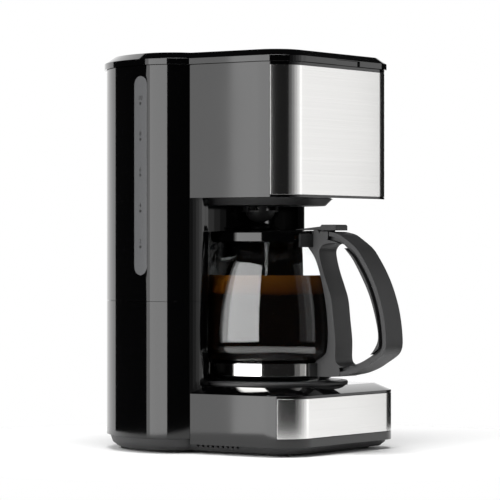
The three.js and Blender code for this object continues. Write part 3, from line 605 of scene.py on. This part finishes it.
def drip_stop():
    """The plunger that the carafe's lid pushes up."""
    dome = [(0, 199.7), (4, 200), (8, 201.4), (10.8, 203.6), (12.5, 206.2), (13.2, 209.1), (11.8, 209.1),
            (11, 206.4), (9.4, 204.4), (7, 202.9), (2.6, 202), (2.6, 221.5), (0, 221.5)]
    finished(turned(dome, BREW_Y, 64), "drip_stop_plunger_form", "drip_stop", "matte_black",
             "drip_stop_plunger", edge=0.2)


def drip_spring():
    """A coil between the plunger and the basket, drawn at one length, though the real one shortens as the
    plunger rises.
    """
    low, high = corners("drip_stop_spring")
    radius = (high.x - low.x) / 2 - SPRING_WIRE
    z0, z1 = low.z + SPRING_WIRE, high.z - SPRING_WIRE
    rings = SPRING_TURNS * SPRING_STEPS
    vertices = []
    for i in range(rings + 1):
        angle = 2 * math.pi * i / SPRING_STEPS
        z = z0 + (z1 - z0) * i / rings
        for j in range(SPRING_SIDES):
            around = 2 * math.pi * j / SPRING_SIDES
            reach = radius + SPRING_WIRE * math.cos(around)
            vertices.append((reach * math.cos(angle), BREW_Y + reach * math.sin(angle),
                             z + SPRING_WIRE * math.sin(around)))
    faces = [tuple(reversed(range(SPRING_SIDES)))]
    for ring in range(rings):
        a = ring * SPRING_SIDES
        b = a + SPRING_SIDES
        for j in range(SPRING_SIDES):
            following = (j + 1) % SPRING_SIDES
            faces.append((a + j, b + j, b + following, a + following))
    faces.append(tuple(range(rings * SPRING_SIDES, (rings + 1) * SPRING_SIDES)))
    coil = finished(shape(vertices, faces), "drip_stop_spring_form", "machine", "polished_steel",
                    "drip_stop_spring", edge=0, sharp=60)
    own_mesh(coil)


# ---------------------------------------------------------------- carafe
GLASS = [(0, 63.2), (45, 63.2), (47, 61.9), (50.5, 61.9), (54.2, 66), (54.2, 77.8), (63.5, 83.3),
         (67.4, 88.5), (68.6, 104), (66.8, 126), (62.6, 147), (57.8, 163), (53.7, 171), (48.2, 178.5),
         (46.8, 183), (51, 188)]
GLASS_INSIDE = [(50.2, 188.6), (44.8, 183.6), (46.4, 177.5), (52, 169.9), (56, 162), (60.6, 146.5),
                (64.8, 125.7), (66.6, 104), (65.5, 89.6), (62.2, 85), (52.2, 79.2), (52.2, 67.2),
                (50, 65.2), (0, 65.2)]


def softened(profile, first, last, steps=44):
    """The profile with the stretch between two of its points drawn as a smooth curve."""
    return profile[:first] + spline(profile[first:last + 1], steps) + profile[last + 1:]


def smooth_step(t):
    """Rises smoothly from 0 to 1."""
    t = min(1, max(0, t))
    return t * t * (3 - 2 * t)


SPOUT_START = 166
SPOUT_RISE = 21
SPOUT_REACH = 22
SPOUT_DIP = 5


def pulled_spout(made):
    """Draws the lip out to the back, opposite the handle."""
    for vertex in made.data.vertices:
        x, y, z = vertex.co.x * 1000, vertex.co.y * 1000 - CARAFE_Y, vertex.co.z * 1000
        radius = math.hypot(x, y)
        if radius < 1 or z < SPOUT_START:
            continue
        pull = smooth_step((z - SPOUT_START) / SPOUT_RISE) * max(0, y / radius) ** 12
        scale = (radius + SPOUT_REACH * pull) / radius
        vertex.co = Vector((x * scale, CARAFE_Y + y * scale, z - SPOUT_DIP * pull)) / 1000
    return made


def carafe():
    """The glass, the coffee in it and the steel band round its foot."""
    outside = softened(GLASS, 5, 15)
    inside = softened(GLASS_INSIDE, 0, 10)
    glass = pulled_spout(turned(outside + inside, CARAFE_Y, 128))
    finished(glass, "carafe_glass_form", "carafe", "carafe_glass", "carafe_glass", edge=0, sharp=60)
    below = [(r, z) for r, z in reversed(inside) if z < coffee_high.z - 2]
    wet = [(max(0, r - GAP), z + (GAP if r < 51 else 0)) for r, z in below]
    surface = wet[-1][0] - (coffee_high.z - wet[-1][1]) * 0.29
    fill = wet + [(surface, coffee_high.z), (0, coffee_high.z)]
    finished(turned(fill, CARAFE_Y, 128), "carafe_coffee_form", "carafe", "coffee", "carafe_coffee",
             edge=0, sharp=40)
    band = [(54.5, band_low.z), (55.7, band_low.z), (55.7, band_high.z), (54.5, band_high.z)]
    finished(turned(band, CARAFE_Y), "carafe_band_form", "carafe", "polished_steel", "carafe_band", edge=0.3)


BACK = [(-84, 190.9), (-93.5, 188.8), (-99.5, 185.6), (-112.2, 176.4), (-120.1, 166), (-126.3, 156),
        (-131.5, 145.5), (-135.5, 135), (-138.5, 125), (-140.5, 115), (-141.9, 104), (-142.2, 94),
        (-140.4, 88), (-136.3, 83.7), (-127.5, 78.2), (-119.1, 73.4), (-108, 69.2), (-96, 66.7)]
HOLE = [(-89, 181), (-96, 180), (-101.5, 175), (-108.8, 166.5), (-118.1, 151), (-125.3, 136.5),
        (-130.2, 122), (-133.6, 108), (-134.2, 99.5), (-132.2, 93.5), (-127.2, 86.6), (-119.3, 81.5),
        (-111.2, 77.8), (-100.4, 74.9), (-94.1, 76.2), (-90.8, 81), (-90.8, 97), (-88.8, 115),
        (-86.8, 132), (-82.8, 144), (-77.6, 158), (-74.4, 171), (-75.4, 176.6), (-80, 180.3)]
COVER_THICKNESS = 3.6
GROOVE_DEPTH = 5
LEVER_SLOT = 9.8  # half the width of the slot for the lid's lever
HANDLE_STEPS = 72


def handle_edge(depth):
    """The handle's outer edge moved inwards by a distance."""
    points = spline(BACK, HANDLE_STEPS)
    moved = []
    for i, (y, z) in enumerate(points):
        ahead, behind = points[min(i + 1, HANDLE_STEPS)], points[max(i - 1, 0)]
        dy, dz = ahead[0] - behind[0], ahead[1] - behind[1]
        length = math.hypot(dy, dz)
        moved.append((y - dz / length * depth, z + dy / length * depth))
    return moved


def edge_band(outer, inner, x0, x1):
    """A strip along the handle's outer edge, between two depths below it."""
    return across(handle_edge(outer) + list(reversed(handle_edge(inner))), x0, x1)


def handle():
    """The handle's core, the cover down its back and the saddles that grip the glass."""
    inside = COVER_THICKNESS + GAP
    clearance = turned(
        [(0, 60), (56.2, 60), (56.2, 77.9)] + [(r + 0.5, z) for r, z in softened(GLASS, 5, 15)[7:]]
        + [(51.5, 195), (0, 195)], CARAFE_Y, 128)
    ear = arc(CARAFE_PIN_Y, CARAFE_PIN_Z, 3.7, 0, 180, 16)
    outline = handle_edge(inside) + [(-95, 66.3), (-84, 65.7), (-55, 65.7), (-55, 189.2)] + ear
    outline += [(-75, 191.1), (-83.2, 190.9)]
    strap = across(outline, -HALF_HANDLE, HALF_HANDLE)
    hole = across(spline(HOLE + HOLE[:1], 96)[:-1], -20, 20)
    lever_seat = block_box(-LEVER_SLOT, LEVER_SLOT, CARAFE_PIN_Y - 3.8, -50, CARAFE_PIN_Z - 3.8, 200)
    thumb_seat = block_box(-LEVER_SLOT, LEVER_SLOT, -95, -71, 189.6, 200)
    grooves = [edge_band(inside - 1, inside + 3.3, min(x, 2 * x), max(x, 2 * x))
               for x in (-HALF_HANDLE + GROOVE_DEPTH, HALF_HANDLE - GROOVE_DEPTH)]
    core = cut(strap, clearance, hole, lever_seat, thumb_seat, *grooves)
    finished(core, "handle_core_form", "carafe", "matte_black", "handle_core", edge=0.7, sharp=42)
    for name, inner, outer, spread, z0, z1 in (
            ("neck_saddle", 51.6, 54.4, 29, 177.5, 189.2), ("band_saddle", 56.3, 58.4, 22, 66, 77.4)):
        outer_arc = arc(0, CARAFE_Y, outer, -90 - spread, -90 + spread, 32)
        inner_arc = arc(0, CARAFE_Y, inner, -90 + spread, -90 - spread, 32)
        finished(prism(outer_arc + inner_arc, z0, z1), name, "carafe", "matte_black", edge=0.5)
    back = cut(
        edge_band(0, COVER_THICKNESS, -HALF_HANDLE, HALF_HANDLE),
        block_box(-20, 20, -84.3, -50, 170, 200), block_box(-20, 20, -95.4, -50, 50, 90),
        block_box(-LEVER_SLOT, LEVER_SLOT, -90, -70, 189.6, 200))
    finished(back, "handle_cover_form", "carafe", "matte_black", "handle_cover", edge=1.1, sharp=42)


LEVER_KNUCKLE = 3.2
LEVER_HALF = 9.5


def carafe_lid():
    """The lid with its dome and spout cover, and the thumb lever that turns on the handle."""
    plate_profile = [(0, 189.6), (52.9, 189.6), (52.9, 182.6), (53.6, 182), (55, 182.8), (55, 190),
                     (54, 191.3), (51, 191.8), (0, 192.2)]

    def wedge(middle, half):
        sector = arc(0, CARAFE_Y, 60, middle - half, middle + half, 24)
        return prism(sector + arc(0, CARAFE_Y, 50, middle + half, middle - half, 24), 180, 189.6)
    angles = [math.radians(a) for a in range(42, -1, -3)]
    cap = [(28 * math.sin(a), 171.2 + 28 * math.cos(a)) for a in angles]
    dome = turned([(0, 190)] + [(cap[0][0], 190)] + cap, BREW_Y, 64)
    tongue = common(
        across([(30, 189.6), (57, 187.4), (61, 187.2), (61, 188.6), (56, 189.8), (30, 191.9)], -18, 18),
        join(rod(0, 44, 180, 200, 16.5), block_box(-16.5, 16.5, 28, 44, 180, 200)))
    lever_slot = block_box(-60, 60, -80, CARAFE_PIN_Y + 4.1, 180, 200)
    body = cut(turned(plate_profile, CARAFE_Y), wedge(-90, 35), wedge(90, 41))
    finished(cut(join(body, tongue, dome), lever_slot), "carafe_lid_form", "carafe_lid", "gloss_black",
             "carafe_lid", edge=0.35)
    front, back = CARAFE_PIN_Y - LEVER_KNUCKLE, CARAFE_PIN_Y + LEVER_KNUCKLE
    outline = [(-47, 192.5), (-47, 193), (-60, 194.2), (-72.5, 195.4), (-73.8, 197), (-87.2, 197),
               (-88.4, 195.8), (-88.4, 192), (-76, 192), (front, 190.5), (front, CARAFE_PIN_Z),
               (back, CARAFE_PIN_Z), (back, 192.5)]
    finished(across(outline, -LEVER_HALF, LEVER_HALF), "lid_lever_form", "carafe_lid", "matte_black",
             "lid_lever", edge=0.7)
    knuckle = cross_rod(CARAFE_PIN_Y, CARAFE_PIN_Z, -LEVER_HALF, LEVER_HALF, LEVER_KNUCKLE)
    finished(knuckle, "lever_knuckle", "carafe_lid", "matte_black", edge=0.3)


# ---------------------------------------------------------------- floor, lights and camera
VIEW_ANGLE = 215  # direction from the machine to the camera, in degrees from +X
VIEW_DISTANCE = 2.367
AIM = Vector((-HALF_WIDTH / 1000, -0.0538, 0.1731))
LENS = 201.6
LENS_RISE = 0.0046
FLOOR_RADIUS = 360
ROOM_LIGHT = 0.012  # what the dark studio round the white backdrop sends back
BOX_DISTANCE = 2.0
BOX_HEIGHT = 1.9
BOX_MIDDLE = 0.75
TOP_SIZE = 1.6
TOP_PLACE = (-0.5, -0.35, 2.4)
FADE = (0.12, 0.3, 0.6, 0.95, 1.5)  # radiance of the steps from the dark corner into the front softbox
FADE_START = 256
FADE_STEP = 10


def stage():
    """A pale floor, and a backdrop that only the camera sees as white."""
    floor = shape([(x, y, 0) for x, y in arc(0, 0, FLOOR_RADIUS, 0, 360, 96)[:-1]], [tuple(range(96))])
    floor.name = "floor"
    floor.data.materials.append(material("floor", (0.9, 0.9, 0.9), 0.9, vary=0.01, bump=0.0))
    world = bpy.data.worlds.new("studio")
    world.use_nodes = True
    nodes, links = world.node_tree.nodes, world.node_tree.links
    backdrop = nodes["Background"]
    backdrop.inputs["Color"].default_value = (1, 1, 1, 1)
    room = nodes.new("ShaderNodeBackground")
    room.inputs["Color"].default_value = (1, 1, 1, 1)
    room.inputs["Strength"].default_value = ROOM_LIGHT
    seen = nodes.new("ShaderNodeLightPath")
    chosen = nodes.new("ShaderNodeMixShader")
    links.new(seen.outputs["Is Camera Ray"], chosen.inputs["Fac"])
    links.new(room.outputs["Background"], chosen.inputs[1])
    links.new(backdrop.outputs["Background"], chosen.inputs[2])
    links.new(chosen.outputs["Shader"], nodes["World Output"].inputs["Surface"])
    bpy.context.scene.world = world


def softbox(name, start, end, radiance):
    """An upright softbox that spans two directions round the machine, in degrees from +X."""
    half = math.radians((end - start) / 2)
    facing = math.radians((start + end) / 2)
    width = 2 * BOX_DISTANCE * math.sin(half)
    data = bpy.data.lights.new(name, "AREA")
    data.shape = "RECTANGLE"
    data.size, data.size_y = width, BOX_HEIGHT
    data.energy = radiance * math.pi * width * BOX_HEIGHT
    light = bpy.data.objects.new(name, data)
    reach = BOX_DISTANCE * math.cos(half)
    light.location = (reach * math.cos(facing), reach * math.sin(facing), BOX_MIDDLE)
    inwards = Vector((-math.cos(facing), -math.sin(facing), 0))
    light.rotation_mode = "QUATERNION"
    light.rotation_quaternion = inwards.to_track_quat("-Z", "Y")
    light.visible_camera = False
    bpy.context.scene.collection.objects.link(light)


def top_light(radiance):
    data = bpy.data.lights.new("top", "AREA")
    data.size = TOP_SIZE
    data.energy = radiance * math.pi * TOP_SIZE ** 2
    light = bpy.data.objects.new("top", data)
    light.location = TOP_PLACE
    light.visible_camera = False
    bpy.context.scene.collection.objects.link(light)


def lights():
    """Softboxes placed so that each wall reflects one, with dark gaps that show at the corners."""
    softbox("side_edge", 138, 148, 2.5)
    softbox("side", 148, 196, 4.6)
    for step, radiance in enumerate(FADE):
        start = FADE_START + FADE_STEP * step
        softbox(f"front_fade_{step}", start, start + FADE_STEP, radiance)
    softbox("front", FADE_START + FADE_STEP * len(FADE), 330, 1.2)
    softbox("rear", 18, 85, 1.25)
    top_light(8.5)


def camera():
    """A level long lens towards the left front corner."""
    data = bpy.data.cameras.new("camera")
    data.lens = LENS
    data.sensor_width = 36
    data.shift_y = LENS_RISE
    data.clip_start, data.clip_end = 0.1, 50
    made = bpy.data.objects.new("camera", data)
    angle = math.radians(VIEW_ANGLE)
    outwards = Vector((math.cos(angle), math.sin(angle), 0))
    made.location = AIM + outwards * VIEW_DISTANCE
    made.rotation_mode = "QUATERNION"
    made.rotation_quaternion = (-outwards).to_track_quat("-Z", "Y")
    bpy.context.scene.collection.objects.link(made)
    bpy.context.scene.camera = made


base_pan()
base_shell()
feet()
plate()
column()
gauge_marks()
head()
top_lid()
drip_stop()
drip_spring()
carafe()
handle()
carafe_lid()
stage()
lights()
camera()
bpy.context.scene.view_settings.view_transform = "Standard"
